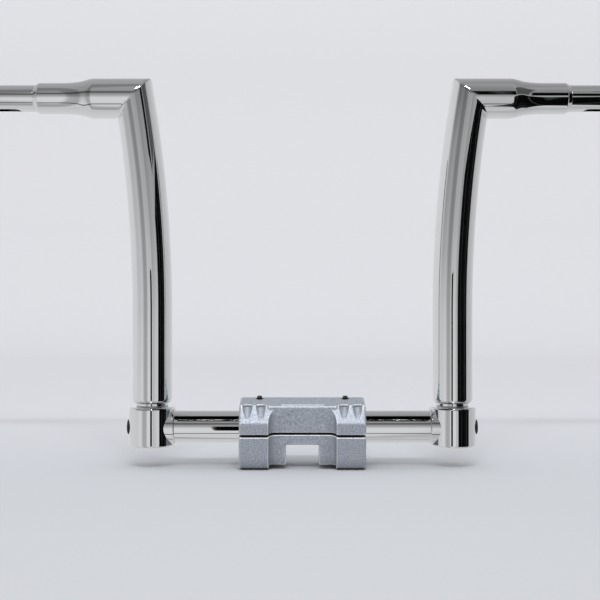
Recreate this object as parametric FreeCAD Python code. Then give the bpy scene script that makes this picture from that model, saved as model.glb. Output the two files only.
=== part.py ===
"""Three-piece motorcycle handlebar: a clamped centre bar, two swivelling collars and two tall risers
that meet their arms in a sharp mitre. The clamp halves, screws, plugs and washers are separate solids.

Frame: millimetres, +X along the centre bar to the right, +Y away from the front of the clamp, +Z up.
The origin is the centre of the clamp's footprint, on the plane of its feet.
Pieces of the right side are modelled and mirrored to make the left side.
"""

import FreeCAD, Part
import math
import os

from FreeCAD import Vector

# ---- centre bar ------------------------------------------------------------------------------
bar_diameter = 31.75
bar_wall = 3.2
bar_seat_wall = 21.625       # from the clamp's feet to the underside of the bar
bar_socket_depth = 10.5      # length of bar held in each collar

# ---- clamp -----------------------------------------------------------------------------------
clamp_width = 119.2
clamp_side_wall = 11.125     # metal in front of the bar, and behind it
split_angle = 12.2           # the split and the cap's top both slope down towards the front
split_gap = 2.35
cap_roof = 9.725             # from the bar's surface to the cap's top, square to the split
cap_top_half = 12.7          # half of the top flat, along its slope
cap_face_rise = 6.1          # top of the cap's upright front face, above the bar's axis
cap_rear_rise = 13.0         # top of the cap's upright rear face, above the bar's axis
cap_edge_round = 1.6
cap_face_round = 4.0         # where an upright face meets a sloping one
split_edge_round = 0.6
lobe_inner = 32.0            # inner side of each outer lobe, from the middle
waist_recess = 7.0           # how far the middle stands back from the lobes
waist_cove = 7.0             # cove between a lobe and the middle
lip_round = 2.4              # rounded lip along the middle's upper front edge
lip_groove_width = 1.3
lip_groove_depth = 1.0
lip_groove_half_length = 20.5
lip_groove_setback = 3.1     # from the middle's front face to the groove's middle
flute_diameter = 12.0
flute_width = 10.2           # mouth width where a flute meets the cap's top
flute_pitch = 12.6
flute_mean_x = 45.5
flute_lean = 40.5            # flute axis from upright
foot_bevel = 2.8
corner_round = 2.0
window_half_width = 16.0
window_top = 23.8
window_skin = 1.2            # metal left under the bar at the window
leg_gap = 4.5                # clearance under the middle's legs

# ---- clamp fasteners -------------------------------------------------------------------------
riser_spacing = 88.9
riser_thread_diameter = 12.7
riser_thread_depth = 16.5
clamp_screw_diameter = 5.0
clamp_screw_head_diameter = 8.5
clamp_screw_head_height = 5.0
clamp_screw_x = 46.0
clamp_screw_offset = 3.725   # from the bar's surface to the screw's axis
clamp_screw_seat = 8.0       # height of the head's seat above the feet
clamp_screw_rise = 9.5       # end of the screw above the bar's axis
clamp_screw_key = 4.0
clamp_screw_key_depth = 3.0
set_screw_diameter = 5.0
set_screw_x = 41.2
set_screw_back = 9.6         # from the middle of the top flat towards the crest
set_screw_proud = 1.8
set_screw_sink_diameter = 8.3
set_screw_sink_depth = 0.9
set_screw_key = 2.5
set_screw_key_depth = 3.0

# ---- collar and its pivot --------------------------------------------------------------------
collar_x = 144.0
collar_wall = 4.225          # from the boss's radius out to the collar's
collar_below = 0.2           # collar's lower face, below the boss
collar_above = 1.9           # collar's upper face, above the boss
collar_edge = 2.4
boss_wall = 2.125            # round the bar
boss_stub = 0.275            # boss face, beyond the collar's side
boss_edge = 1.0
spigot_diameter = 22.0
spigot_length = 11.8
spigot_groove_depth = 1.6
spigot_groove_width = 5.0
lock_screw_diameter = 6.0
lock_screw_length = 10.0
lock_screw_key = 3.0
lock_screw_key_depth = 3.5
lock_screw_tip_length = 2.0
lock_screw_tip_step = 0.5
washer_thickness = 0.8
neck_diameter = 30.2
neck_height = 3.0            # visible neck, washer included
shoulder_height = 4.2

# ---- end bolt --------------------------------------------------------------------------------
end_bolt_diameter = 9.525
end_bolt_head_diameter = 14.3
end_bolt_head_height = 9.5
end_bolt_proud = 1.2         # head beyond the collar's side
end_bolt_key = 7.9
end_bolt_key_depth = 5.0
end_bolt_rim = 0.6
end_washer_thickness = 1.5
bar_plug_length = 22.0
thread_past_bolt = 3.0       # tapped length beyond the end bolt's tip

# ---- riser, arm and grip tube ----------------------------------------------------------------
riser_diameter = 38.1
riser_wall = 2.6
riser_plug_insert = 18.0
riser_bend_start = 110.0     # above the bar's axis
riser_bend_radius = 1250.0
arm_rise = 314.9             # arm's axis above the bar's axis
arm_reach = 55.0             # from the collar's axis to where the arm starts to narrow
swage_middle = 13.0          # from there to the middle of the swage
swage_length = 37.0
sleeve_length = 16.3
swage_middle_diameter = 32.6
swage_start_tangent = 12.0
swage_end_tangent = 12.0
sleeve_wall = 2.1
sleeve_end_cone = 3.6
sleeve_end_wall = 0.4        # metal left at the cone's small end
grip_diameter = 25.4
grip_wall = 2.1
grip_length = 197.7          # beyond the sleeve
grip_insert = 18.0           # grip tube held inside the sleeve
grip_insert_step = 0.35      # the insert is turned down by this, radially
grip_shoulder_gap = 0.3      # from the sleeve's mouth to the insert's shoulder
slot_setback = 16.2          # from the sleeve to the slot
slot_length = 34.0
slot_width = 12.0

# ---- clearances ------------------------------------------------------------------------------
running_clearance = 0.05     # radial, between pieces that turn on each other
thread_clearance = 0.02      # radial, bolt in its thread
screw_clearance = 0.3        # radial, bolt in a plain hole
head_clearance = 0.3         # radial, head in its counterbore
face_clearance = 0.05        # between faces that slide on each other
plug_clearance = 0.02        # radial, plug in its tube
tip_clearance = 0.15         # set screw off the surface it locks
overrun = 5.0                # how far a cutter runs past what it cuts

X, Y, Z = Vector(1, 0, 0), Vector(0, 1, 0), Vector(0, 0, 1)
split_slope = math.radians(split_angle)
bar_radius = bar_diameter / 2
bar_bore_radius = bar_radius - bar_wall
bar_height = bar_seat_wall + bar_radius
half_depth = bar_radius + clamp_side_wall
clamp_depth = 2 * half_depth
cap_top_rise = bar_radius + cap_roof
clamp_screw_y = bar_radius + clamp_screw_offset
half_width = clamp_width / 2
waist_front = half_depth - waist_recess
boss_radius = bar_radius + boss_wall
collar_radius = boss_radius + collar_wall
boss_face_x = collar_x - collar_radius - boss_stub
bar_end_x = boss_face_x + bar_socket_depth
collar_top = bar_height + boss_radius + collar_above
collar_bottom = bar_height - boss_radius - collar_below
neck_top = collar_top + neck_height
tube_bottom = neck_top + shoulder_height
riser_radius = riser_diameter / 2
riser_bore_radius = riser_radius - riser_wall
arm_height = bar_height + arm_rise
swage_start_x = collar_x + arm_reach
swage_end_x = swage_start_x + swage_length
sleeve_end_x = swage_end_x + sleeve_length
mouth_x = sleeve_end_x + sleeve_end_cone
slot_start_x = sleeve_end_x + slot_setback
grip_radius = grip_diameter / 2
sleeve_radius = grip_radius + sleeve_wall
head_end_x = collar_x + collar_radius + end_bolt_proud
head_seat_x = head_end_x - end_bolt_head_height
washer_seat_x = head_seat_x - end_washer_thickness
bar_plug_inner_x = bar_end_x - bar_plug_length
end_bolt_tip_x = bar_plug_inner_x + thread_past_bolt


def cylinder(radius, start, end):
    """A round solid from one point to another."""
    return Part.makeCylinder(radius, (end - start).Length, start, end - start)


def tube(outer, inner, start, end):
    return cylinder(outer, start, end).cut(cylinder(inner, start, end))


def prism(points, thickness, direction):
    """A polygon, extruded along a direction."""
    return Part.Face(Part.makePolygon(points + points[:1])).extrude(direction * thickness)


def hex_socket(across_flats, depth, mouth, inward):
    """The key hole of a socket screw, with its mouth at a point."""
    across = Vector(0, 1, 0) if abs(inward.y) < 0.5 else Vector(1, 0, 0)
    inward = Vector(inward).normalize()
    side = inward.cross(across).normalize()
    up = side.cross(inward)
    radius = across_flats / math.sqrt(3)
    corners = [mouth + (side * math.cos(a) + up * math.sin(a)) * radius
               for a in (math.radians(60 * k) for k in range(6))]
    return prism(corners, depth, inward)


def edges_where(shape, test):
    return [edge for edge in shape.Edges if test(edge)]


def on_slope(along, rise):
    """Point (y, z) given along the split's slope and square to it, from the bar's axis."""
    y = along * math.cos(split_slope) - rise * math.sin(split_slope)
    z = along * math.sin(split_slope) + rise * math.cos(split_slope)
    return y, z + bar_height


def split_at(y, side):
    """Height of the cap's (+1) or the base's (-1) split face at depth y."""
    return bar_height + y * math.tan(split_slope) + side * split_gap / 2


def rounded_profile(corners, x):
    """A closed face in the plane at x from (y, z, radius) corners, each with its own round."""
    points = [Vector(x, y, z) for y, z, _ in corners]
    cuts, edges = [], []
    for k, (_, _, radius) in enumerate(corners):
        here, before, after = points[k], points[k - 1], points[(k + 1) % len(points)]
        to_before, to_after = (before - here).normalize(), (after - here).normalize()
        half = to_before.getAngle(to_after) / 2
        reach = radius / math.tan(half)
        middle = here + (to_before + to_after).normalize() * (radius / math.sin(half) - radius)
        cuts.append((here + to_before * reach, middle, here + to_after * reach, radius))
    for k, (start, middle, end, radius) in enumerate(cuts):
        if radius > 0:
            edges.append(Part.Arc(start, middle, end).toShape())
        edges.append(Part.makeLine(end, cuts[(k + 1) % len(cuts)][0]))
    return Part.Face(Part.Wire(edges))


def waist_cutter(low, high):
    """What is taken off the front to set the middle back, with a cove beside each lobe."""
    reach = half_depth + overrun
    cove = waist_cove * math.cos(math.radians(45))
    inner, start = lobe_inner - waist_cove, waist_front + waist_cove

    def at(x, y):
        return Vector(x, -y, low)

    outline = [
        Part.makeLine(at(-lobe_inner, reach), at(-lobe_inner, start)),
        Part.Arc(at(-lobe_inner, start), at(-inner - cove, start - cove), at(-inner, waist_front)).toShape(),
        Part.makeLine(at(-inner, waist_front), at(inner, waist_front)),
        Part.Arc(at(inner, waist_front), at(inner + cove, start - cove), at(lobe_inner, start)).toShape(),
        Part.makeLine(at(lobe_inner, start), at(lobe_inner, reach)),
        Part.makeLine(at(lobe_inner, reach), at(-lobe_inner, reach)),
    ]
    return Part.Face(Part.Wire(outline)).extrude(Z * (high - low))


def bar_space():
    radius = bar_radius + running_clearance
    end = half_width + overrun
    return cylinder(radius, Vector(-end, 0, bar_height), Vector(end, 0, bar_height))


def clamp_screw_places(y):
    return [Vector(x, y, 0) for x in (-clamp_screw_x, clamp_screw_x)]


def make_clamp_base():
    profile = [
        (-half_depth, 0, 0), (half_depth, 0, 0),
        (half_depth, split_at(half_depth, -1), split_edge_round),
        (-half_depth, split_at(-half_depth, -1), split_edge_round),
    ]
    block = rounded_profile(profile, -half_width).extrude(X * clamp_width)
    block = block.makeChamfer(foot_bevel, edges_where(block, lambda e: e.BoundBox.ZMax < 1e-6))
    upright = edges_where(block, lambda e: abs(e.tangentAt(e.FirstParameter).z) > 0.5)
    block = block.makeFillet(corner_round, upright)
    front = waist_cutter(-overrun, bar_height * 2)
    rear = front.mirror(Vector(0, 0, 0), Y)
    block = block.cut(front).cut(rear)
    # The middle's legs stop short of the feet.
    under_legs = Part.makeBox(2 * lobe_inner, 2 * clamp_depth, leg_gap, Vector(-lobe_inner, -clamp_depth, 0))
    block = block.cut(under_legs)
    window = Part.makeBox(2 * window_half_width, 2 * clamp_depth, window_top,
                          Vector(-window_half_width, -clamp_depth, 0))
    cradle = cylinder(bar_radius + window_skin, Vector(-half_width, 0, bar_height),
                      Vector(half_width, 0, bar_height))
    block = block.cut(window.cut(cradle)).cut(bar_space())
    for x in (-riser_spacing / 2, riser_spacing / 2):
        foot = Vector(x, 0, 0)
        block = block.cut(cylinder(riser_thread_diameter / 2, foot, foot + Z * riser_thread_depth))
    for y in (-clamp_screw_y, clamp_screw_y):
        for place in clamp_screw_places(y):
            seat = place + Z * clamp_screw_seat
            head = clamp_screw_head_diameter / 2 + head_clearance
            block = block.cut(cylinder(head, place - Z * overrun, seat))
            block = block.cut(cylinder(clamp_screw_diameter / 2 + screw_clearance, seat,
                                       place + Z * 2 * bar_height))
    return block


def flute_cutter(x):
    """One flute: a round cutter that runs down and out of the cap's sloping front."""
    y, z = on_slope(-cap_top_half, cap_top_rise)
    radius = flute_diameter / 2
    outward = math.sqrt(radius**2 - (flute_width / 2) ** 2)
    lean = math.radians(flute_lean)
    down = Vector(0, -math.sin(lean), -math.cos(lean))
    away = Vector(0, -math.cos(lean), math.sin(lean))
    start = Vector(x, y, z) + away * outward
    return cylinder(radius, start - down, start + down * clamp_depth)


def lip_groove():
    """The narrow groove behind the lip, on the sloping top, with round ends."""
    y = -(waist_front - lip_groove_setback)
    top = bar_height + (cap_top_rise + y * math.sin(split_slope)) / math.cos(split_slope)
    half, radius = lip_groove_half_length, lip_groove_width / 2
    square_up = Vector(0, -math.sin(split_slope), math.cos(split_slope))
    bottom = Vector(0, y, top) - square_up * lip_groove_depth
    back = Vector(0, math.cos(split_slope), math.sin(split_slope))
    signs = ((-1, -1), (1, -1), (1, 1), (-1, 1))
    corners = [bottom + X * sx * half + back * sy * radius for sx, sy in signs]
    groove = prism(corners, overrun, square_up)
    for side in (-1, 1):
        end = bottom + X * side * half
        groove = groove.fuse(cylinder(radius, end, end + square_up * overrun))
    return groove


def make_clamp_cap():
    crest_y, crest_z = on_slope(cap_top_half, cap_top_rise)
    edge_y, edge_z = on_slope(-cap_top_half, cap_top_rise)
    face_z, rear_z = bar_height + cap_face_rise, bar_height + cap_rear_rise
    lobe = [
        (-half_depth, split_at(-half_depth, 1), split_edge_round), (-half_depth, face_z, cap_face_round),
        (edge_y, edge_z, cap_edge_round), (crest_y, crest_z, cap_edge_round),
        (half_depth, rear_z, cap_face_round), (half_depth, split_at(half_depth, 1), split_edge_round),
    ]
    lip_z = bar_height + (cap_top_rise - waist_front * math.sin(split_slope)) / math.cos(split_slope)
    middle = [
        (-waist_front, split_at(-waist_front, 1), split_edge_round), (-waist_front, lip_z, lip_round),
        (crest_y, crest_z, cap_edge_round), (half_depth, rear_z, cap_face_round),
        (half_depth, split_at(half_depth, 1), split_edge_round),
    ]
    lobes = rounded_profile(lobe, -half_width).extrude(X * clamp_width)
    upright = edges_where(lobes, lambda e: abs(e.tangentAt(e.FirstParameter).z) > 0.999)
    lobes = lobes.makeFillet(corner_round, upright)
    lobes = lobes.cut(waist_cutter(-overrun, bar_height * 3))
    cap = lobes.fuse(rounded_profile(middle, -lobe_inner).extrude(X * 2 * lobe_inner))
    cap = cap.removeSplitter()
    for side in (-1, 1):
        for step in (-0.5, 0.5):
            cap = cap.cut(flute_cutter(side * (flute_mean_x + step * flute_pitch)))
    cap = cap.cut(lip_groove()).cut(bar_space())
    top = bar_height + clamp_screw_rise
    for y in (-clamp_screw_y, clamp_screw_y):
        for place in clamp_screw_places(y):
            radius = clamp_screw_diameter / 2 + thread_clearance
            cap = cap.cut(cylinder(radius, place, place + Z * (top + 0.5)))
    for start, direction in set_screw_axes():
        mouth = start + direction * cap_top_rise
        cap = cap.cut(cylinder(set_screw_diameter / 2 + thread_clearance, start, mouth + direction))
        sink = set_screw_sink_diameter / 2
        cap = cap.cut(cylinder(sink, mouth - direction * set_screw_sink_depth, mouth + direction * overrun))
    return cap


def set_screw_axes():
    """(point level with the bar's axis, direction) of each set screw, square to the cap's top."""
    direction = Vector(0, -math.sin(split_slope), math.cos(split_slope))
    y, z = on_slope(set_screw_back, 0)
    return [(Vector(x, y, z), direction) for x in (-set_screw_x, set_screw_x)]


def make_set_screws():
    radius = set_screw_diameter / 2
    nearest = set_screw_back - radius
    tip = math.sqrt(bar_radius**2 - nearest**2) + tip_clearance
    screws = []
    for start, direction in set_screw_axes():
        mouth = start + direction * (cap_top_rise + set_screw_proud)
        screw = cylinder(radius, start + direction * tip, mouth)
        screws.append(screw.cut(hex_socket(set_screw_key, set_screw_key_depth, mouth, direction * -1)))
    return Part.makeCompound(screws)


def make_clamp_screws(y):
    """A pair of socket screws from below, through the base and into the cap."""
    screws = []
    for place in clamp_screw_places(y):
        seat = place + Z * clamp_screw_seat
        face = seat - Z * clamp_screw_head_height
        head = cylinder(clamp_screw_head_diameter / 2, face, seat)
        shank = cylinder(clamp_screw_diameter / 2, seat, place + Z * (bar_height + clamp_screw_rise))
        screws.append(head.fuse(shank).cut(hex_socket(clamp_screw_key, clamp_screw_key_depth, face, Z)))
    return Part.makeCompound(screws)


def make_centre_bar():
    ends = Vector(-bar_end_x, 0, bar_height), Vector(bar_end_x, 0, bar_height)
    return tube(bar_radius, bar_bore_radius, *ends)


def make_bar_end_plug():
    ends = Vector(bar_plug_inner_x, 0, bar_height), Vector(bar_end_x, 0, bar_height)
    return tube(bar_bore_radius - plug_clearance, end_bolt_diameter / 2 + thread_clearance, *ends)


def make_end_bolt():
    tip, seat = Vector(end_bolt_tip_x, 0, bar_height), Vector(head_seat_x, 0, bar_height)
    face = Vector(head_end_x, 0, bar_height)
    head = cylinder(end_bolt_head_diameter / 2, seat, face)
    rim = edges_where(head, lambda e: e.BoundBox.XMin > head_end_x - 1e-6)
    head = head.makeChamfer(end_bolt_rim, rim)
    bolt = head.fuse(cylinder(end_bolt_diameter / 2, tip, seat))
    return bolt.cut(hex_socket(end_bolt_key, end_bolt_key_depth, face, X * -1))


def make_end_washer():
    ends = Vector(washer_seat_x + face_clearance, 0, bar_height), Vector(head_seat_x, 0, bar_height)
    return tube(end_bolt_head_diameter / 2, end_bolt_diameter / 2 + screw_clearance / 2, *ends)


def make_collar():
    """The upright round collar with a side boss that the bar's end sits in."""
    lower, upper = Vector(collar_x, 0, collar_bottom), Vector(collar_x, 0, collar_top)
    body = cylinder(collar_radius, lower, upper)
    body = body.makeFillet(collar_edge, edges_where(body, lambda e: e.BoundBox.ZLength < 1e-6))
    face, centre = Vector(boss_face_x, 0, bar_height), Vector(collar_x, 0, bar_height)
    boss = cylinder(boss_radius, face, centre)
    boss = boss.makeFillet(boss_edge, edges_where(boss, lambda e: e.BoundBox.XMax < boss_face_x + 1e-6))
    body = body.fuse(boss)
    body = body.cut(cylinder(bar_radius + running_clearance, face - X, face + X * bar_socket_depth))
    body = body.cut(cylinder(end_bolt_diameter / 2 + screw_clearance, face,
                             Vector(head_end_x, 0, bar_height)))
    head = end_bolt_head_diameter / 2 + head_clearance
    body = body.cut(cylinder(head, Vector(washer_seat_x, 0, bar_height),
                             Vector(head_end_x + overrun, 0, bar_height)))
    spigot_hole = upper - Z * (spigot_length + face_clearance)
    body = body.cut(cylinder(spigot_diameter / 2 + running_clearance, spigot_hole, upper + Z * overrun))
    lock_start, lock_end = lock_screw_ends()
    body = body.cut(cylinder(lock_screw_diameter / 2 + thread_clearance, Vector(collar_x, 0, lock_start.z),
                             lock_end + Y * collar_radius))
    return body


def groove_height():
    return collar_top - spigot_length / 2


def lock_screw_ends():
    """Tip and outer end of the screw that sits in the spigot's groove, from the rear."""
    tip_y = spigot_diameter / 2 - spigot_groove_depth + tip_clearance
    height = groove_height()
    return Vector(collar_x, tip_y, height), Vector(collar_x, tip_y + lock_screw_length, height)


def make_lock_screw():
    tip, end = lock_screw_ends()
    step = tip + Y * lock_screw_tip_length
    screw = cylinder(lock_screw_diameter / 2 - lock_screw_tip_step, tip, step)
    screw = screw.fuse(cylinder(lock_screw_diameter / 2, step, end))
    return screw.cut(hex_socket(lock_screw_key, lock_screw_key_depth, end, Y * -1))


def make_thrust_washer():
    low = Vector(collar_x, 0, collar_top + face_clearance)
    return tube(neck_diameter / 2, spigot_diameter / 2 + plug_clearance, low, low + Z * washer_thickness)


def make_pivot_plug():
    """Spigot, neck, rounded shoulder and insert, turned as one piece and fixed in the riser's foot."""
    spigot, neck, insert = spigot_diameter / 2, neck_diameter / 2, riser_bore_radius - plug_clearance
    neck_bottom = collar_top + face_clearance + washer_thickness
    groove_low = groove_height() - spigot_groove_width / 2
    groove_high = groove_low + spigot_groove_width
    waist = spigot - spigot_groove_depth

    def at(radius, z):
        return Vector(collar_x + radius, 0, z)

    shoulder_middle = at(neck + (riser_radius - neck) * math.sin(math.radians(45)),
                         tube_bottom - shoulder_height * math.cos(math.radians(45)))
    corners = [
        at(riser_radius, tube_bottom), at(insert, tube_bottom), at(insert, tube_bottom + riser_plug_insert),
        at(0, tube_bottom + riser_plug_insert), at(0, collar_top - spigot_length),
        at(spigot, collar_top - spigot_length), at(spigot, groove_low), at(waist, groove_low),
        at(waist, groove_high), at(spigot, groove_high), at(spigot, neck_bottom), at(neck, neck_bottom),
        at(neck, neck_top),
    ]
    edges = [Part.makeLine(a, b) for a, b in zip(corners, corners[1:])]
    edges.append(Part.Arc(corners[-1], shoulder_middle, corners[0]).toShape())
    return Part.Face(Part.Wire(edges)).revolve(Vector(collar_x, 0, 0), Z, 360)


def corner_point():
    """Where the riser's bent axis meets the arm's level axis, and the riser's direction there."""
    rise = arm_rise - riser_bend_start
    angle = math.asin(rise / riser_bend_radius)
    x = collar_x + riser_bend_radius * (1 - math.cos(angle))
    return Vector(x, 0, arm_height), Vector(math.sin(angle), 0, math.cos(angle)), angle


def mitre_half_space():
    """A large box on the arm's side of the mitre plane."""
    corner, up, _ = corner_point()
    normal = (up + X).normalize()
    size = 10 * riser_diameter
    across = normal.cross(Y)
    start = corner - across * size / 2 - Y * size / 2
    corners = [start, start + across * size, start + across * size + Y * size, start + Y * size]
    return prism(corners, size, normal)


def riser_path(past_corner):
    """The riser's axis: straight, then one long arc outwards, then a little straight past the corner."""
    start = Vector(collar_x, 0, tube_bottom)
    bend = Vector(collar_x, 0, bar_height + riser_bend_start)
    corner, up, angle = corner_point()
    centre = bend + X * riser_bend_radius
    middle = centre + Vector(-math.cos(angle / 2), 0, math.sin(angle / 2)) * riser_bend_radius
    edges = [
        Part.makeLine(start, bend),
        Part.Arc(bend, middle, corner).toShape(),
        Part.makeLine(corner, corner + up * past_corner),
    ]
    return Part.Wire(edges)


def make_upright():
    path = riser_path(2 * riser_radius)
    foot = Vector(collar_x, 0, tube_bottom)
    shells = []
    for radius in (riser_radius, riser_bore_radius):
        circle = Part.Wire(Part.makeCircle(radius, foot, Z))
        shells.append(path.makePipeShell([circle], True, True))
    return shells[0].cut(shells[1]).cut(mitre_half_space())


def make_arm():
    """The arm: the riser's size at the mitre, swaged down to a sleeve that holds the grip tube."""
    corner, _, _ = corner_point()
    bore = grip_radius - grip_insert_step + plug_clearance
    start_x = corner.x - 2 * riser_radius
    insert_x = sleeve_end_x - grip_insert

    def at(x, radius):
        return Vector(x, 0, arm_height + radius)

    swage = Part.BSplineCurve()
    swage.interpolate(
        [at(swage_start_x, riser_radius), at(swage_start_x + swage_middle, swage_middle_diameter / 2),
         at(swage_end_x, sleeve_radius)],
        InitialTangent=X * swage_start_tangent, FinalTangent=X * swage_end_tangent)
    corners = [
        at(swage_end_x, sleeve_radius), at(sleeve_end_x, sleeve_radius), at(mouth_x, bore + sleeve_end_wall),
        at(mouth_x, bore), at(insert_x, bore), at(swage_start_x, riser_bore_radius),
        at(start_x, riser_bore_radius), at(start_x, riser_radius), at(swage_start_x, riser_radius),
    ]
    edges = [Part.makeLine(a, b) for a, b in zip(corners, corners[1:])]
    edges.append(swage.toShape())
    solid = Part.Face(Part.Wire(edges)).revolve(Vector(0, 0, arm_height), X, 360)
    return solid.common(mitre_half_space())


def make_grip_tube():
    """The one-inch tube for the grip, with a round-ended wiring slot in its underside."""
    bore, step = grip_radius - grip_wall, grip_insert_step
    start, end = sleeve_end_x - grip_insert, sleeve_end_x + grip_length
    shoulder = Vector(mouth_x + grip_shoulder_gap, 0, arm_height)
    insert = tube(grip_radius - step, bore, Vector(start, 0, arm_height), shoulder)
    solid = insert.fuse(tube(grip_radius, bore, shoulder, Vector(end, 0, arm_height)))
    half = slot_width / 2
    low = arm_height - grip_radius - overrun
    height = grip_radius + overrun
    slot = Part.makeBox(slot_length - slot_width, slot_width, height, Vector(slot_start_x + half, -half, low))
    for x in (slot_start_x + half, slot_start_x + slot_length - half):
        slot = slot.fuse(cylinder(half, Vector(x, 0, low), Vector(x, 0, low + height)))
    return solid.cut(slot)


def save(name, shape):
    shape.exportStep(os.path.join("parts", name + ".step"))


def main():
    os.makedirs("parts", exist_ok=True)
    save("clamp_base", make_clamp_base())
    save("clamp_cap", make_clamp_cap())
    save("clamp_screws_front", make_clamp_screws(-clamp_screw_y))
    save("clamp_screws_rear", make_clamp_screws(clamp_screw_y))
    save("cap_set_screws", make_set_screws())
    save("centre_bar", make_centre_bar())
    sided = {
        "bar_end_plug": make_bar_end_plug, "end_bolt": make_end_bolt, "end_washer": make_end_washer,
        "collar": make_collar, "lock_screw": make_lock_screw, "thrust_washer": make_thrust_washer,
        "pivot_plug": make_pivot_plug, "upright": make_upright, "arm": make_arm, "grip_tube": make_grip_tube,
    }
    for name, make in sided.items():
        right = make()
        save(name + "_right", right)
        save(name + "_left", right.mirror(Vector(0, 0, 0), X))


main()
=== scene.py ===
"""Looks for the three-piece handlebar: chromed tubes and collars, a sand-cast clamp, a pale studio.

Everything is in metres in the CAD frame: +X right along the centre bar, +Y away from the clamp's front,
+Z up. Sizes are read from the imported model's boxes; what a box can't give is a named value below.
"""

import math

import bmesh
import bpy
from mathutils import Matrix, Vector


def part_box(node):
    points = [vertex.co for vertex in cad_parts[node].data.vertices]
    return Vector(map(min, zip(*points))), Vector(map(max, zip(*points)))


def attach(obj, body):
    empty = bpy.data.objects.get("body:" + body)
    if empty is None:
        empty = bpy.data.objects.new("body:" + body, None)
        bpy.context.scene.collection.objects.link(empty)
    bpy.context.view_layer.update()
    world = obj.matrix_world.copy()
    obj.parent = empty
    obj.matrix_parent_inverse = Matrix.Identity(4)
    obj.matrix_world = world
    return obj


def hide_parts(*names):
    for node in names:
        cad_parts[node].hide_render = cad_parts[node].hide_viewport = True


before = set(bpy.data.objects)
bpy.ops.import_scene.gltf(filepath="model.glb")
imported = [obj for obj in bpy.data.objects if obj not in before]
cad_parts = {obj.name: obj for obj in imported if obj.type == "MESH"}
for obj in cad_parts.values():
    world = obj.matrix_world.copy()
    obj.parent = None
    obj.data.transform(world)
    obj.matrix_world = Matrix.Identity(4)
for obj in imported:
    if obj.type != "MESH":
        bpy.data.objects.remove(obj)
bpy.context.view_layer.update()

MM = 0.001

# ---- sizes that no box gives, as in the CAD source ---------------------------------------------
riser_wall = 2.6 * MM
riser_bend_start = 110.0 * MM     # above the bar's axis
riser_bend_radius = 1250.0 * MM
mitre_round = 2.2 * MM            # dressed weld at the mitre
swage_start_x = 199.0 * MM
swage_middle_x = 212.0 * MM
swage_end_x = 236.0 * MM
swage_middle_radius = 16.3 * MM
sleeve_radius = 14.8 * MM
sleeve_end_cone = 3.6 * MM
sleeve_end_wall = 0.4 * MM
grip_wall = 2.1 * MM
grip_insert = 18.0 * MM
grip_insert_step = 0.35 * MM      # the insert is turned down this much
grip_shoulder_gap = 0.3 * MM      # from the sleeve's mouth to the shoulder
slot_start_x = 268.5 * MM
slot_length = 34.0 * MM
slot_width = 12.0 * MM
boss_radius = 18.0 * MM
boss_edge = 1.0 * MM
collar_edge = 2.4 * MM
bar_wall = 3.2 * MM
bar_socket_depth = 10.5 * MM
running_clearance = 0.05 * MM
screw_clearance = 0.3 * MM
spigot_radius = 11.0 * MM
neck_radius = 15.1 * MM
shoulder_height = 4.2 * MM
plug_insert = 18.0 * MM
spigot_groove_depth = 1.6 * MM
spigot_groove_width = 5.0 * MM
lock_screw_radius = 3.0 * MM
fitting_gap = 0.02 * MM           # round a pressed or welded insert
swage_slope = -0.19               # radius per length, at the swage's middle
sleeve_lip = 0.9 * MM             # rounding at the sleeve's mouth
tube_rim = 0.6 * MM
grip_rim = 0.5 * MM
plug_rim = 0.3 * MM

# ---- camera, card and cutters -----------------------------------------------------------------
camera_x, camera_y = -0.0023, -0.960
camera_rise = 0.1216              # above the bar; a card at this height is edge-on in the risers
card_far_y = -0.135
card_near_y = -0.019
lock_hole_start = 0.004           # from the collar's axis
cut_past = 2.0 * MM               # how far a cutter runs past the surface it opens
lock_cut_past = 3.0 * MM
head_cut_past = 5.0 * MM
boss_overlap = 1.0 * MM           # the boss stops this short of the collar's axis
hair = 1e-7                       # a core this thin is closed by weld()
weld_reach = 2e-6
cut_weld_reach = 1e-6             # after a boolean
sliver = 1e-8
lens, sensor = 60, 36             # the camera's, in millimetres
lamps = {
    # place, target, size, power
    "front_strip": ((0.0, -0.85, 1.2), (0, 0, 0.05), (0.56, 0.07), 6.0),
    "clamp_key": ((0.0, -0.55, 0.75), (0, 0, 0.04), (0.20, 0.08), 4.6),
}

# ---- mesh densities ---------------------------------------------------------------------------
around = 144
edge_steps = 6
smooth_angle = math.radians(32)


def middle(low, high):
    return (low + high) / 2


bar_low, bar_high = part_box("centre_bar")
bar_z = middle(bar_low.z, bar_high.z)
bar_radius = (bar_high.z - bar_low.z) / 2
bar_end_x = bar_high.x
boss_face_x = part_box("collar_right")[0].x
collar_low, collar_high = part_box("collar_right")
collar_radius = (collar_high.y - collar_low.y) / 2
collar_x = collar_high.x - collar_radius
arm_low, arm_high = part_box("arm_right")
arm_z = middle(arm_low.z, arm_high.z)
riser_radius = (arm_high.z - arm_low.z) / 2
sleeve_end_x = arm_high.x - sleeve_end_cone
tube_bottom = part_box("upright_right")[0].z
grip_low, grip_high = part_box("grip_tube_right")
grip_radius = (grip_high.z - grip_low.z) / 2
grip_end_x = grip_high.x
plug_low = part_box("pivot_plug_right")[0]
washer_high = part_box("thrust_washer_right")[1]
end_washer_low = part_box("end_washer_right")[0]


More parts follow.
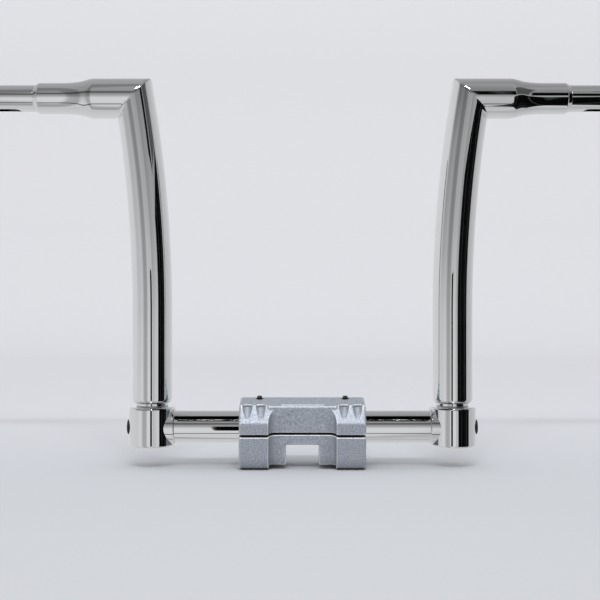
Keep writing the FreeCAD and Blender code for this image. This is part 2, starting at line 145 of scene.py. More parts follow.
# ---- node helpers -----------------------------------------------------------------------------
class Nodes:
    """A thin wrapper over one node tree: add a node, set its inputs, link by socket."""

    def __init__(self, tree):
        self.tree = tree

    def add(self, kind, inputs=None, **settings):
        node = self.tree.nodes.new(kind)
        for key, value in settings.items():
            setattr(node, key, value)
        for key, value in (inputs or {}).items():
            if isinstance(value, bpy.types.NodeSocket):
                self.tree.links.new(value, node.inputs[key])
            else:
                node.inputs[key].default_value = value
        return node

    def ramp(self, factor, stops, interpolation="LINEAR"):
        node = self.add("ShaderNodeValToRGB", {"Fac": factor})
        node.color_ramp.interpolation = interpolation
        elements = node.color_ramp.elements
        while len(elements) < len(stops):
            elements.new(0.5)
        for element, (place, colour) in zip(elements, stops):
            element.position = place
            element.color = (*colour, 1) if hasattr(colour, "__len__") else (colour, colour, colour, 1)
        return node.outputs["Color"]

    def maths(self, operation, a, b=0.0, c=0.0, clamp=False):
        node = self.add("ShaderNodeMath", {0: a, 1: b, 2: c}, operation=operation, use_clamp=clamp)
        return node.outputs[0]

    def noise(self, vector, scale, detail=2.0, roughness=0.5):
        node = self.add("ShaderNodeTexNoise",
                        {"Vector": vector, "Scale": scale, "Detail": detail, "Roughness": roughness})
        return node.outputs["Fac"]

    def between(self, factor, low, high):
        node = self.add("ShaderNodeMapRange", {"Value": factor, "To Min": low, "To Max": high})
        return node.outputs["Result"]

    def mix(self, factor, a, b, blend="MIX"):
        node = self.add("ShaderNodeMix", data_type="RGBA", blend_type=blend)
        for socket, value in ((0, factor), (6, a), (7, b)):
            if isinstance(value, bpy.types.NodeSocket):
                self.tree.links.new(value, node.inputs[socket])
            elif hasattr(value, "__len__"):
                node.inputs[socket].default_value = (*value, 1)
            else:
                node.inputs[socket].default_value = value
        return node.outputs[2]

    def bump(self, height, strength, distance, normal=None):
        inputs = {"Height": height, "Strength": strength, "Distance": distance}
        if normal is not None:
            inputs["Normal"] = normal
        return self.add("ShaderNodeBump", inputs).outputs["Normal"]


def new_material(name):
    material = bpy.data.materials.new(name)
    material.use_nodes = True
    nodes = Nodes(material.node_tree)
    shader = material.node_tree.nodes["Principled BSDF"]
    place = nodes.add("ShaderNodeTexCoord").outputs["Object"]
    return material, nodes, shader, place


def link(nodes, source, shader, name):
    nodes.tree.links.new(source, shader.inputs[name])


def stretched(nodes, place, scale):
    return nodes.add("ShaderNodeMapping", {"Vector": place, "Scale": scale}).outputs["Vector"]


# ---- materials --------------------------------------------------------------------------------
def chrome_material(name, tint, haze):
    """Polished plating: a very faint polishing grain, soft handling haze and a slight waviness."""
    material, nodes, shader, place = new_material(name)
    smudge = nodes.noise(place, 38.0, 5.0, 0.6)
    grain = nodes.noise(stretched(nodes, place, (1.0, 1.0, 0.12)), 2600.0, 3.0, 0.6)
    wave = nodes.noise(place, 26.0, 1.0, 0.4)
    haze_mask = nodes.ramp(smudge, [(0.46, 0.0), (0.72, 1.0)])
    roughness = nodes.between(haze_mask, haze, haze + 0.045)
    darker = tuple(0.94 * c for c in tint)
    link(nodes, nodes.mix(smudge, tint, darker), shader, "Base Color")
    link(nodes, roughness, shader, "Roughness")
    slow = nodes.bump(wave, 0.10, 0.0006)
    link(nodes, nodes.bump(grain, 0.025, 0.00002, slow), shader, "Normal")
    shader.inputs["Metallic"].default_value = 1.0
    return material


def cast_material(name):
    """Raw sand-cast aluminium: pebbled skin, a painted highlight on the convex edges, painted shade in the
    hollows and crevices.
    """
    material, nodes, shader, place = new_material(name)
    speckle = nodes.noise(place, 780.0, 3.0, 0.7)
    pebble = nodes.add("ShaderNodeTexVoronoi", {"Vector": place, "Scale": 720.0}).outputs["Distance"]
    cloud = nodes.noise(place, 60.0, 4.0, 0.6)
    pointed = nodes.add("ShaderNodeNewGeometry").outputs["Pointiness"]
    # edge: the convex edges, which get a painted highlight in pale colour and are also a little glossier
    edge = nodes.ramp(pointed, [(0.510, 0.0), (0.548, 1.0)])
    # painted shade: concave places are painted dark
    painted_hollow_shade = nodes.ramp(pointed, [(0.46, 1.0), (0.497, 0.0)])
    # painted shade: strongly occluded cracks and crevices, such as the split line, are painted near-black
    crevice = nodes.add("ShaderNodeAmbientOcclusion", {"Distance": 0.007}, samples=8).outputs["AO"]
    painted_crevice_shade = nodes.ramp(crevice, [(0.20, 0.97), (0.72, 0.0)])
    mottled = nodes.ramp(speckle, [(0.30, 0.0), (0.70, 1.0)])
    body = nodes.mix(mottled, (0.155, 0.175, 0.21), (0.42, 0.455, 0.515))
    body = nodes.mix(nodes.ramp(cloud, [(0.35, 0.0), (0.7, 0.35)]), body, (0.31, 0.33, 0.37))
    pits = nodes.ramp(pebble, [(0.0, 0.55), (0.35, 1.0)])
    body = nodes.mix(0.75, body, pits, "MULTIPLY")
    # painted shade in the concave places
    body = nodes.mix(painted_hollow_shade, body, (0.13, 0.14, 0.16))
    # painted shade: wider recesses, such as where the lobes meet the middle, are painted darker
    wide = nodes.add("ShaderNodeAmbientOcclusion", {"Distance": 0.014}, samples=8).outputs["AO"]
    body = nodes.mix(nodes.ramp(wide, [(0.50, 0.85), (0.95, 0.0)]), body, (0.10, 0.11, 0.13))
    # painted highlight: the convex edges are painted pale
    body = nodes.mix(edge, body, (0.82, 0.83, 0.85))
    # painted shade: the split line and crevices are painted near-black
    link(nodes, nodes.mix(painted_crevice_shade, body, (0.012, 0.013, 0.016)), shader, "Base Color")
    link(nodes, nodes.between(edge, 0.55, 0.40), shader, "Roughness")
    grain = nodes.bump(speckle, 0.7, 0.0003)
    link(nodes, nodes.bump(pebble, 0.45, 0.00018, grain), shader, "Normal")
    shader.inputs["Metallic"].default_value = 0.55
    return material


def dark_steel_material(name):
    """Black-oxide screws: nearly black, with brighter worn metal on the edges and fine turning marks."""
    material, nodes, shader, place = new_material(name)
    turned = nodes.add("ShaderNodeTexWave", {"Vector": place, "Scale": 900.0, "Distortion": 1.5},
                       bands_direction="Z").outputs["Fac"]
    soft = nodes.add("ShaderNodeBevel", {"Radius": 0.0004}, samples=4).outputs["Normal"]
    true = nodes.add("ShaderNodeNewGeometry").outputs["Normal"]
    facing = nodes.add("ShaderNodeVectorMath", {0: soft, 1: true}, operation="DOT_PRODUCT").outputs["Value"]
    edge = nodes.ramp(nodes.maths("SUBTRACT", 1.0, facing, clamp=True), [(0.02, 0.0), (0.25, 1.0)])
    patchy = nodes.noise(place, 420.0, 4.0, 0.6)
    body = nodes.mix(patchy, (0.018, 0.018, 0.021), (0.055, 0.056, 0.062))
    link(nodes, nodes.mix(edge, body, (0.42, 0.42, 0.44)), shader, "Base Color")
    link(nodes, nodes.between(patchy, 0.28, 0.48), shader, "Roughness")
    link(nodes, nodes.bump(turned, 0.3, 0.00008), shader, "Normal")
    shader.inputs["Metallic"].default_value = 0.9
    return material


def plain_metal_material(name, low, high, roughness):
    """Turned steel: fine rings and patchy colour."""
    material, nodes, shader, place = new_material(name)
    patchy = nodes.noise(place, 300.0, 4.0, 0.6)
    rings = nodes.add("ShaderNodeTexWave", {"Vector": place, "Scale": 1400.0, "Distortion": 2.0},
                      bands_direction="X").outputs["Fac"]
    link(nodes, nodes.mix(patchy, low, high), shader, "Base Color")
    link(nodes, nodes.between(patchy, roughness, roughness + 0.2), shader, "Roughness")
    link(nodes, nodes.bump(rings, 0.2, 0.00005), shader, "Normal")
    shader.inputs["Metallic"].default_value = 1.0
    return material


def paper_material():
    """Pale paper with painted light and shade: darker on the floor towards the camera, paler further back
    and up the backdrop.
    """
    material, nodes, shader, place = new_material("pale_paper")
    parts = nodes.add("ShaderNodeSeparateXYZ", {0: place}).outputs
    depth = nodes.maths("MULTIPLY_ADD", parts["Y"], 0.25, 0.25)
    # painted shade: the floor is darker towards the camera and paler further back
    painted_floor_shade = nodes.ramp(depth, [(0.05, (0.425, 0.43, 0.435)), (0.20, (0.47, 0.485, 0.51)),
                              (0.27, (0.52, 0.535, 0.565)), (0.38, (0.60, 0.605, 0.64)),
                              (0.65, (0.66, 0.665, 0.69)), (0.92, (0.67, 0.67, 0.69))])
    # painted light: the sweep is paler up the backdrop
    backdrop_light = nodes.ramp(nodes.maths("MULTIPLY", parts["Z"], 0.5), [(0.2, 0.0), (0.65, 1.0)])
    link(nodes, nodes.mix(backdrop_light, painted_floor_shade, (0.745, 0.745, 0.76)), shader, "Base Color")
    shader.inputs["Roughness"].default_value = 0.9
    return material


def cloth_material(name, dark, fold):
    """Hung cloth with a few faint upright folds."""
    material, nodes, shader, place = new_material(name)
    folds = nodes.noise(stretched(nodes, place, (1.0, 1.0, 0.02)), 16.0, 2.0, 0.5)
    link(nodes, nodes.ramp(folds, [(0.52, dark), (0.66, fold)]), shader, "Base Color")
    shader.inputs["Roughness"].default_value = 1.0
    shader.inputs["Specular IOR Level"].default_value = 0.0
    return material


def card_material():
    """A card over the bar. Its Emission Strength is 0, the default, so it gives no glow and shows black."""
    material, nodes, shader, place = new_material("studio_card")
    across = nodes.add("ShaderNodeSeparateXYZ", {0: place}).outputs["Y"]
    share = nodes.maths("MULTIPLY", across, -7.3)
    glow = nodes.ramp(share, [(0.1, 0.45), (0.3, 0.68), (0.8, 0.70), (0.92, 0.9)])
    link(nodes, glow, shader, "Emission Color")
    # seen almost edge-on the card is clear, so that it draws no line in the risers
    slant = nodes.add("ShaderNodeLayerWeight", {"Blend": 0.5}).outputs["Facing"]
    link(nodes, nodes.ramp(slant, [(0.60, 1.0), (0.85, 0.0)]), shader, "Alpha")
    shader.inputs["Base Color"].default_value = (0, 0, 0, 1)
    shader.inputs["Specular IOR Level"].default_value = 0.0
    return material


chrome = chrome_material("chrome_tubes", (0.80, 0.81, 0.825), 0.018)
chrome_turned = chrome_material("chrome_turned", (0.79, 0.80, 0.82), 0.022)
cast = cast_material("sand_cast_aluminium")
dark_steel = dark_steel_material("black_oxide_steel")
plain_steel = plain_metal_material("turned_steel", (0.42, 0.42, 0.43), (0.60, 0.60, 0.61), 0.25)


# ---- mesh helpers -----------------------------------------------------------------------------
def mesh_object(name, vertices, faces, material):
    mesh = bpy.data.meshes.new(name)
    mesh.from_pydata([tuple(v) for v in vertices], [], faces)
    mesh.validate()
    piece = bpy.data.objects.new(name, mesh)
    bpy.context.scene.collection.objects.link(piece)
    mesh.materials.append(material)
    return finish_mesh(piece)


def finish_mesh(piece):
    """Faces outwards, smooth, with sharp edges only where the surface really turns."""
    mesh = piece.data
    work = bmesh.new()
    work.from_mesh(mesh)
    bmesh.ops.recalc_face_normals(work, faces=work.faces)
    work.to_mesh(mesh)
    work.free()
    mesh.polygons.foreach_set("use_smooth", [True] * len(mesh.polygons))
    mesh.set_sharp_from_angle(angle=smooth_angle)
    mesh.update()
    return piece


def ring_faces(rings, count, closed=True):
    """Quads between rings of `count` points each; closed also joins the last ring to the first."""
    faces = []
    for r in range(rings if closed else rings - 1):
        here, there = r * count, ((r + 1) % rings) * count
        for k in range(count):
            nxt = (k + 1) % count
            faces.append((here + k, here + nxt, there + nxt, there + k))
    return faces


def arc(centre, radius, start, end, steps=edge_steps):
    """(radius, along) points of a round edge, angles in degrees."""
    angles = [math.radians(start + (end - start) * k / steps) for k in range(steps + 1)]
    return [(centre[0] + radius * math.cos(a), centre[1] + radius * math.sin(a)) for a in angles]


def supported(outline, hold=0.15 * MM):
    """Adds a point close to each end of every long straight, so that smooth shading stays true along it."""
    points = []
    for k, start in enumerate(outline):
        end = outline[(k + 1) % len(outline)]
        points.append(start)
        step = Vector((end[0] - start[0], end[1] - start[1]))
        if step.length > 4 * hold:
            unit = step.normalized() * hold
            points.append((start[0] + unit.x, start[1] + unit.y))
            points.append((end[0] - unit.x, end[1] - unit.y))
    return points


def lathe(name, outline, origin, axis, material, count=around):
    """A closed outline of (radius, along) points turned about an axis, X or Z."""
    outline = supported(outline)
    vertices = []
    for radius, along in outline:
        for k in range(count):
            angle = 2 * math.pi * k / count
            c, s = radius * math.cos(angle), radius * math.sin(angle)
            local = Vector((along, c, s)) if axis == "X" else Vector((c, s, along))
            vertices.append(origin + local)
    return mesh_object(name, vertices, ring_faces(len(outline), count), material)


def round_bar(radius, start, end, edge=0.0):
    """Outline of a solid of revolution with rounded rims; its core is a hair-thin hole, later welded."""
    outline = [(hair, start)]
    if edge:
        outline += arc((radius - edge, start + edge), edge, -90, 0)
        outline += arc((radius - edge, end - edge), edge, 0, 90)
    else:
        outline += [(radius, start), (radius, end)]
    return outline + [(hair, end)]


def weld(piece, distance=weld_reach):
    work = bmesh.new()
    work.from_mesh(piece.data)
    bmesh.ops.remove_doubles(work, verts=work.verts, dist=distance)
    bmesh.ops.dissolve_degenerate(work, edges=work.edges, dist=sliver)
    work.to_mesh(piece.data)
    work.free()
    return piece


def apply_modifiers(piece):
    graph = bpy.context.evaluated_depsgraph_get()
    mesh = bpy.data.meshes.new_from_object(piece.evaluated_get(graph))
    old = piece.data
    piece.modifiers.clear()
    piece.data = mesh
    bpy.data.meshes.remove(old)
    return piece


def combine(piece, tool, operation):
    """An exact boolean with a tool that is then thrown away."""
    modifier = piece.modifiers.new("combine", "BOOLEAN")
    modifier.object = tool
    modifier.operation = operation
    modifier.solver = "EXACT"
    apply_modifiers(piece)
    bpy.data.objects.remove(tool)
    return piece


def subdivided_bar(name, radius, start, end, origin, axis, material, edge=0.0, rings=40, count=192):
    """A solid round bar with many rings, so that a boolean leaves its shading even."""
    outline = round_bar(radius, start, end, edge)
    low, high = start + edge, end - edge
    split = next(k for k, p in enumerate(outline) if p[0] > radius - 1e-9 and p[1] >= low - 1e-9)
    extra = [(radius, low + (high - low) * k / rings) for k in range(1, rings)]
    outline = outline[:split + 1] + extra + outline[split + 1:]
    piece = lathe(name, outline, origin, axis, material, count)
    return weld(piece)


def place_piece(piece, body, slot_name, *nodes):
    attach(piece, body)
    if nodes:
        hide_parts(*nodes)
    return piece


def mirrored(piece, name):
    """The left-hand copy of a right-hand piece."""
    mesh = piece.data.copy()
    mesh.transform(Matrix.Scale(-1, 4, Vector((1, 0, 0))))
    copy = bpy.data.objects.new(name, mesh)
    bpy.context.scene.collection.objects.link(copy)
    return finish_mesh(copy)


# ---- riser and arm, welded and plated as one --------------------------------------------------
bend_z = bar_z + riser_bend_start
bend_angle = math.asin((arm_z - bend_z) / riser_bend_radius)
corner = Vector((collar_x + riser_bend_radius * (1 - math.cos(bend_angle)), 0, arm_z))
riser_direction = Vector((math.sin(bend_angle), 0, math.cos(bend_angle)))
mitre_normal = (riser_direction + Vector((1, 0, 0))).normalized()
straight_length = bend_z - tube_bottom
bend_length = riser_bend_radius * bend_angle


def riser_line(distance, radius, angle):
    """Point on the riser's surface: distance along its axis, angle round it from its outboard side."""
    if distance <= straight_length:
        tilt, centre = 0.0, Vector((collar_x, 0, tube_bottom + distance))
    elif distance <= straight_length + bend_length:
        tilt = (distance - straight_length) / riser_bend_radius
        centre = Vector((collar_x + riser_bend_radius * (1 - math.cos(tilt)), 0,
                         bend_z + riser_bend_radius * math.sin(tilt)))
    else:
        tilt = bend_angle
        centre = corner + riser_direction * (distance - straight_length - bend_length)
    outboard = Vector((math.cos(tilt), 0, -math.sin(tilt)))
    return centre + radius * (outboard * math.cos(angle) + Vector((0, 1, 0)) * math.sin(angle))


def mitre_distance(radius, angle):
    """How far along the riser its surface line meets the mitre plane."""
    low, high = straight_length, straight_length + bend_length + 2 * radius
    for _ in range(50):
        trial = (low + high) / 2
        if (riser_line(trial, radius, angle) - corner).dot(mitre_normal) < 0:
            low = trial
        else:
            high = trial
    return trial


def hermite(start, end, slope_start, slope_end, share):
    """Smooth height between two values, with slopes given over the whole step."""
    s2, s3 = share**2, share**3
    return (start * (2 * s3 - 3 * s2 + 1) + slope_start * (s3 - 2 * s2 + share)
            + end * (3 * s2 - 2 * s3) + slope_end * (s3 - s2))


def swage_profile(steps=22):
    """(x, radius) along the S-shaped reduction from the arm to its sleeve."""
    first, second = swage_middle_x - swage_start_x, swage_end_x - swage_middle_x
    points = []
    for k in range(steps):
        share = k / steps
        points.append((swage_start_x + first * share,
                       hermite(riser_radius, swage_middle_radius, 0, swage_slope * first, share)))
    for k in range(steps + 1):
        share = k / steps
        points.append((swage_middle_x + second * share,
                       hermite(swage_middle_radius, sleeve_radius, swage_slope * second, 0, share)))
    return points


def outer_profile():
    """(x, radius) of the arm from the swage to the sleeve's mouth."""
    points = swage_profile()
    sleeve = sleeve_end_x - swage_end_x
    points += [(swage_end_x + sleeve * k / 4, sleeve_radius) for k in range(1, 4)]
    lip = sleeve_lip
    points += [(sleeve_end_x - lip - 0.2 * MM, sleeve_radius)]
    points += [(sleeve_end_x - lip + lip * math.sin(a), sleeve_radius - lip * (1 - math.cos(a)))
               for a in (math.radians(12 * k) for k in range(5))]
    mouth = sleeve_end_x + sleeve_end_cone
    start = points[-1]
    end_radius = grip_radius - grip_insert_step + sleeve_end_wall
    points += [(start[0] + (mouth - start[0]) * k / 6, start[1] + (end_radius - start[1]) * k / 6)
               for k in range(1, 7)]
    return points


def mitred_line(radius, angle, round_size, riser_steps, arm_steps, arm_end):
    """One surface line: up the riser, round the dressed mitre and out along the arm."""
    total = mitre_distance(radius, angle)
    crease = riser_line(total, radius, angle)
    direction = (crease - riser_line(total - 0.5 * MM, radius, angle)).normalized()
    outward = Vector((1, 0, 0))
    turn = direction.angle(outward)
    reach = round_size * math.tan(turn / 2)
    sideways = (outward - direction * outward.dot(direction)).normalized()
    points = [riser_line((total - reach) * k / riser_steps, radius, angle) for k in range(riser_steps)]
    start = crease - direction * reach
    for k in range(edge_steps * 2 + 1):
        a = turn * k / (edge_steps * 2)
        points.append(start + round_size * (direction * math.sin(a) + sideways * (1 - math.cos(a))))
    end = points[-1]
    for k in range(1, arm_steps + 1):
        points.append(end + Vector((arm_end - end.x, 0, 0)) * k / arm_steps)
    return points


def make_riser_shell(name, material):
    inner = riser_radius - riser_wall
    bore = grip_radius - grip_insert_step + fitting_gap
    profile = outer_profile()
    mouth = sleeve_end_x + sleeve_end_cone
    columns = []
    for k in range(around):
        angle = 2 * math.pi * k / around
        down, across = -math.cos(angle), math.sin(angle)
        outside = mitred_line(riser_radius, angle, mitre_round, 100, 12, swage_start_x)[:-1]
        outside += [Vector((x, r * across, arm_z + r * down)) for x, r in profile]
        inside = mitred_line(inner, angle, mitre_round * 0.5, 40, 4, swage_start_x)
        bored = [(mouth, bore), (sleeve_end_x - grip_insert, bore)]
        outside += [Vector((x, r * across, arm_z + r * down)) for x, r in bored]
        columns.append(outside + inside[::-1])
    rings = len(columns[0])
    vertices = [columns[k][r] for r in range(rings) for k in range(around)]
    return mesh_object(name, vertices, ring_faces(rings, around), material)


# ---- grip tube --------------------------------------------------------------------------------
def make_grip_tube(name, material):
    inner = grip_radius - grip_wall
    start, end = sleeve_end_x - grip_insert, grip_end_x
    shoulder = sleeve_end_x + sleeve_end_cone + grip_shoulder_gap
    insert_radius = grip_radius - grip_insert_step
    rim = grip_rim
    rings = 72
    outline = [(inner, start), (insert_radius, start), (insert_radius, shoulder), (grip_radius, shoulder)]
    outline += [(grip_radius, shoulder + (end - rim - shoulder) * k / rings) for k in range(1, rings)]
    outline += arc((grip_radius - rim, end - rim), rim, 0, 90)
    outline += [(inner, end)]
    outline += [(inner, end - (end - start) * k / rings) for k in range(1, rings)]
    piece = lathe(name, outline, Vector((0, 0, arm_z)), "X", material, 128)
    half = slot_width / 2
    corners = []
    for centre, turn in ((slot_start_x + slot_length - half, -90), (slot_start_x + half, 90)):
        for k in range(17):
            a = math.radians(turn + 180 * k / 16)
            corners.append((centre + half * math.cos(a), half * math.sin(a)))
    top, bottom = arm_z - grip_radius * 0.3, arm_z - grip_radius - 2 * MM
    vertices = [(x, y, z) for z in (bottom, top) for x, y in corners]
    count = len(corners)
    faces = [tuple(range(count))[::-1], tuple(range(count, 2 * count))]
    faces += [(k, (k + 1) % count, count + (k + 1) % count, count + k) for k in range(count)]
    cutter = mesh_object("slot_cutter", vertices, faces, material)
    return finish_mesh(combine(piece, cutter, "DIFFERENCE"))


# ---- centre bar, collar and pivot plug --------------------------------------------------------
def make_centre_bar():
    bore, rim = bar_radius - bar_wall, tube_rim
    outline = [(bore, -bar_end_x), *arc((bar_radius - rim, -bar_end_x + rim), rim, -90, 0),
               *arc((bar_radius - rim, bar_end_x - rim), rim, 0, 90), (bore, bar_end_x)]
    return lathe("centre_bar_chrome", outline, Vector((0, 0, bar_z)), "X", chrome, 192)


def make_collar(name, material):
    """An upright round collar and its side boss, bored for the bar, the end bolt and the spigot."""
    centre = Vector((collar_x, 0, 0))
    on_axis = Vector((0, 0, bar_z))
    collar = subdivided_bar(name, collar_radius, collar_low.z, collar_high.z, centre, "Z", material,
                            collar_edge)
    # the lock screw's hole comes first: cut last, it was left capped over
    screw_low, screw_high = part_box("lock_screw_right")
    screw_axis = Vector((collar_x, 0, middle(screw_low.z, screw_high.z)))
    hole = subdivided_bar("lock_hole", lock_screw_radius, lock_hole_start, collar_radius + lock_cut_past,
                          Vector(), "Z", material, 0.0, 6, 64)
    hole.data.transform(Matrix.Translation(screw_axis) @ Matrix.Rotation(math.radians(-90), 4, "X"))
    combine(collar, hole, "DIFFERENCE")
    boss = subdivided_bar("boss", boss_radius, boss_face_x, collar_x - boss_overlap, on_axis, "X", material,
                          boss_edge, 30)
    combine(collar, boss, "UNION")
    socket_end = boss_face_x + bar_socket_depth + running_clearance
    socket = subdivided_bar("socket", bar_radius + running_clearance, boss_face_x - cut_past, socket_end,
                            on_axis, "X", material, 0.0, 12)
    combine(collar, socket, "DIFFERENCE")
    bolt_low, bolt_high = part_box("end_bolt_right")
    head = (bolt_high.z - bolt_low.z) / 2 + screw_clearance
    counterbore = subdivided_bar("counterbore", head, end_washer_low.x, bolt_high.x + head_cut_past, on_axis,
                                 "X", material, 0.0, 16, 96)
    combine(collar, counterbore, "DIFFERENCE")
    spigot = subdivided_bar("spigot_hole", spigot_radius + running_clearance,
                            plug_low.z - running_clearance, collar_high.z + cut_past, centre, "Z", material,
                            0.0, 8, 96)
    combine(collar, spigot, "DIFFERENCE")
    return finish_mesh(weld(collar, cut_weld_reach))


def make_pivot_plug(name, material):
    """Spigot, neck, rounded shoulder and the insert inside the riser."""
    insert = riser_radius - riser_wall - fitting_gap
    neck_top = tube_bottom - shoulder_height
    groove_low = collar_high.z - (collar_high.z - plug_low.z) / 2 - spigot_groove_width / 2
    groove_high = groove_low + spigot_groove_width
    waist = spigot_radius - spigot_groove_depth
    width = riser_radius - neck_radius
    shoulder = [(neck_radius + width * math.sin(a), tube_bottom - shoulder_height * math.cos(a))
                for a in (math.radians(7.5 * k) for k in range(13))]
    outline = [
        (hair, plug_low.z), (spigot_radius, plug_low.z), (spigot_radius, groove_low), (waist, groove_low),
        (waist, groove_high), (spigot_radius, groove_high), (spigot_radius, washer_high.z),
        (neck_radius - plug_rim, washer_high.z), (neck_radius, washer_high.z + plug_rim),
        (neck_radius, neck_top - 0.2 * MM), *shoulder, (insert, tube_bottom),
        (insert, tube_bottom + plug_insert), (hair, tube_bottom + plug_insert),
    ]
    return finish_mesh(weld(lathe(name, outline, Vector((collar_x, 0, 0)), "Z", material, 192)))


# ---- clamp halves, as castings ----------------------------------------------------------------
def make_casting(name, node):
    """The CAD half with its edges softened and a real sand-cast skin."""
    voxel, skin = 0.5 * MM, 0.10 * MM
    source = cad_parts[node]
    piece = bpy.data.objects.new(name, source.data.copy())
    bpy.context.scene.collection.objects.link(piece)
    weld(piece, cut_weld_reach)
    remesh = piece.modifiers.new("voxels", "REMESH")
    remesh.mode = "VOXEL"
    remesh.voxel_size = voxel
    smooth = piece.modifiers.new("soften", "SMOOTH")
    smooth.factor = 0.5
    smooth.iterations = 3
    texture = bpy.data.textures.new(name + "_sand", "CLOUDS")
    texture.noise_scale = 1.6 * MM
    texture.noise_depth = 2
    sand = piece.modifiers.new("sand", "DISPLACE")
    sand.texture = texture
    sand.texture_coords = "LOCAL"
    sand.strength = skin
    sand.mid_level = 0.6
    apply_modifiers(piece)
    piece.data.materials.clear()
    piece.data.materials.append(cast)
    piece.data.polygons.foreach_set("use_smooth", [True] * len(piece.data.polygons))
    return place_piece(piece, "clamp", "cast_aluminium", node)


# ---- studio -----------------------------------------------------------------------------------
def make_sweep():
    """A pale floor that curves up into the backdrop, well behind the object."""
    half_width, front, curve_start, curve_radius, top = 5.0, -5.0, 1.7, 1.0, 4.0
    outline = [(front, 0.0), (curve_start, 0.0)]
    outline += [(curve_start + curve_radius * math.sin(a), curve_radius * (1 - math.cos(a)))
                for a in (math.radians(5 * k) for k in range(1, 19))]
    outline += [(curve_start + curve_radius, top)]
    vertices = [(x, y, z) for x in (-half_width, half_width) for y, z in outline]
    count = len(outline)
    faces = [(k, k + 1, count + k + 1, count + k) for k in range(count - 1)]
    sweep = mesh_object("studio_sweep", vertices, faces, paper_material())
    sweep.visible_glossy = False


def make_flag(name, corners, material):
    """A panel that only reflections see, as a studio flag or card does out of the frame."""
    flag = mesh_object(name, corners, [tuple(range(len(corners)))], material)
    flag.visible_camera = False
    flag.visible_shadow = False
    flag.visible_diffuse = False


def make_flags():
    """Black and grey panels beside the camera, and the card over the bar."""
    black = cloth_material("studio_black", 0.003, 0.05)
    grey = cloth_material("studio_grey", 0.10, 0.30)
    low = -0.45
    flags = {
        # (x, y) of the two ends, the bottom and the top at each end, the cloth
        "flag_right": ((0.35, -0.57), (0.68, -0.12), (low, low), (0.34, 0.56), black),
        "flag_upper": ((0.45, -0.43), (0.68, -0.12), (0.45, 0.56), (0.9, 0.9), grey),
        "flag_high": ((0.25, -0.50), (0.47, -0.50), (0.45, 0.45), (0.66, 0.66), black),
        "camera_stand": ((-0.20, -1.34), (0.0, -1.34), (low, low), (0.235, 0.235), black),
    }
    for name, (start, end, bottoms, tops, cloth) in flags.items():
        corners = [(*start, bottoms[0]), (*end, bottoms[1]), (*end, tops[1]), (*start, tops[0])]
        make_flag(name, corners, cloth)
    reach, height = 0.138, bar_z + camera_rise
    corners = [(-reach, card_far_y, height), (reach, card_far_y, height), (reach, card_near_y, height),
               (-reach, card_near_y, height)]
    make_flag("bar_card", corners, card_material())


def make_world():
    """Soft studio surroundings. Glossy reflections see pale and grey bands; all else sees plain light."""
    world = bpy.data.worlds.new("studio")
    bpy.context.scene.world = world
    bpy.context.scene.view_settings.view_transform = "Standard"
    world.use_nodes = True
    nodes = Nodes(world.node_tree)
    background = world.node_tree.nodes["Background"]
    ray = nodes.add("ShaderNodeTexCoord").outputs["Generated"]
    parts = nodes.add("ShaderNodeSeparateXYZ", {0: ray})
    height = nodes.maths("ARCSINE", parts.outputs["Z"])
    share = nodes.maths("MULTIPLY_ADD", nodes.maths("DIVIDE", height, math.pi), 1.0, 0.5)
    front = nodes.ramp(share, [(0.0, 0.70), (0.262, 0.74), (0.270, 0.03), (0.285, 0.03), (0.293, 0.76),
                               (0.46, 0.80), (0.49, 0.72), (0.53, 0.50), (0.59, 0.36), (0.625, 0.19),
                               (0.655, 0.07), (0.69, 0.34), (0.84, 0.40), (1.0, 0.42)])
    rear = nodes.ramp(share, [(0.0, 0.70), (0.60, 0.80), (0.78, 0.45), (1.0, 0.42)])
    forward = nodes.maths("MULTIPLY_ADD", parts.outputs["Y"], -0.5, 0.5)
    facing = nodes.ramp(forward, [(0.48, 0.0), (0.62, 1.0)])
    bands = nodes.mix(facing, rear, front)
    # the room's left and right: grey panels between pale gaps
    turn = nodes.maths("ARCTAN2", parts.outputs["X"], nodes.maths("MULTIPLY", parts.outputs["Y"], -1.0))
    side = nodes.maths("MULTIPLY_ADD", nodes.maths("DIVIDE", turn, 2 * math.pi), 1.0, 0.5)
    panels = nodes.ramp(side, [(0.0, 1.0), (0.25, 0.95), (0.30, 0.88), (0.36, 1.0), (0.40, 0.55),
                               (0.44, 0.62), (0.452, 1.0), (0.52, 1.0), (0.53, 0.72), (0.60, 0.95),
                               (0.75, 0.70), (1.0, 1.0)])
    polished = nodes.mix(1.0, bands, panels, "MULTIPLY")
    paths = nodes.add("ShaderNodeLightPath").outputs
    plain = nodes.mix(paths["Is Camera Ray"], (1.20, 1.205, 1.22), (0.78, 0.785, 0.81))
    nodes.tree.links.new(nodes.mix(paths["Is Glossy Ray"], plain, polished), background.inputs["Color"])
    background.inputs["Strength"].default_value = 1.0


def add_area(name, place, target, size, power):
    light = bpy.data.lights.new(name, "AREA")
    light.shape = "RECTANGLE"
    light.size, light.size_y = size
    light.energy = power
    lamp = bpy.data.objects.new(name, light)
    bpy.context.scene.collection.objects.link(lamp)
    lamp.location = place
    lamp.rotation_euler = (Vector(target) - Vector(place)).to_track_quat("-Z", "Y").to_euler()
    return lamp


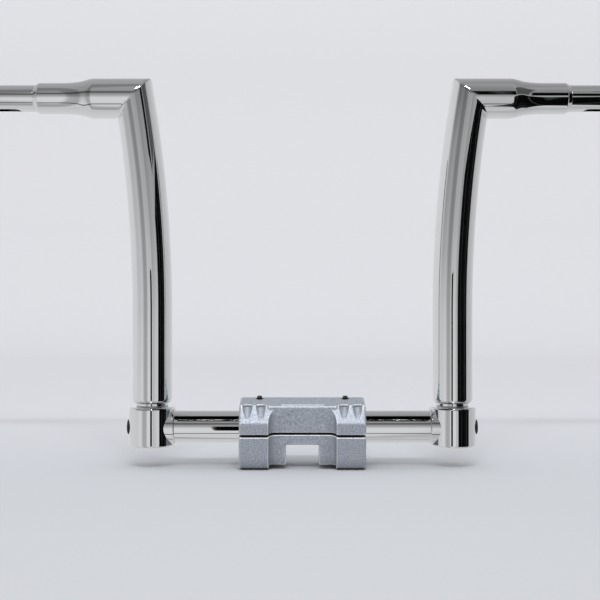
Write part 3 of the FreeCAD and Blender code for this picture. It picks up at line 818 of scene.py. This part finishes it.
def light_only(lamp, *pieces):
    """The lamp lights these pieces and nothing else, as a masked spot does."""
    receivers = bpy.data.collections.new(lamp.name + "_receivers")
    for piece in pieces:
        receivers.objects.link(piece)
    lamp.light_linking.receiver_collection = receivers


def make_camera():
    """Level, square to the clamp, a little above the bar."""
    data = bpy.data.cameras.new("camera")
    data.lens = lens
    data.sensor_width = sensor
    camera = bpy.data.objects.new("camera", data)
    bpy.context.scene.collection.objects.link(camera)
    camera.location = (camera_x, camera_y, bar_z + camera_rise)
    camera.rotation_euler = (math.radians(90), 0, 0)
    bpy.context.scene.camera = camera


# ---- assembly ---------------------------------------------------------------------------------
def build_pieces():
    place_piece(make_centre_bar(), "bar", "chrome_tube", "centre_bar")
    makers = {
        "riser_shell": (make_riser_shell, chrome, "riser", "chrome_tube", ("upright", "arm")),
        "grip_tube_chrome": (make_grip_tube, chrome, "riser", "chrome_tube", ("grip_tube",)),
        "collar_chrome": (make_collar, chrome_turned, "collar", "chrome_machined", ("collar",)),
        "pivot_plug_chrome": (make_pivot_plug, chrome_turned, "riser", "chrome_machined", ("pivot_plug",)),
    }
    for name, (make, material, body, slot_name, nodes) in makers.items():
        right = make(name + "_right", material)
        left = mirrored(right, name + "_left")
        for side, piece in (("right", right), ("left", left)):
            place_piece(piece, f"{body}_{side}", slot_name, *(f"{n}_{side}" for n in nodes))
    return make_casting("clamp_base_casting", "clamp_base"), make_casting("clamp_cap_casting", "clamp_cap")


def dress_cad_nodes():
    """Materials for the CAD nodes that stay."""
    finishes = {
        "clamp_screws": dark_steel, "cap_set_screws": dark_steel, "end_bolt": dark_steel,
        "lock_screw": dark_steel, "bar_end_plug": plain_steel, "end_washer": plain_steel,
        "thrust_washer": plain_steel,
    }
    for name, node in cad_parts.items():
        for start, material in finishes.items():
            if name.startswith(start):
                node.data.materials.clear()
                node.data.materials.append(material)


make_camera()
make_world()
make_sweep()
make_flags()
add_area("front_strip", *lamps["front_strip"])
castings = build_pieces()
light_only(add_area("clamp_key", *lamps["clamp_key"]), *castings)
dress_cad_nodes()
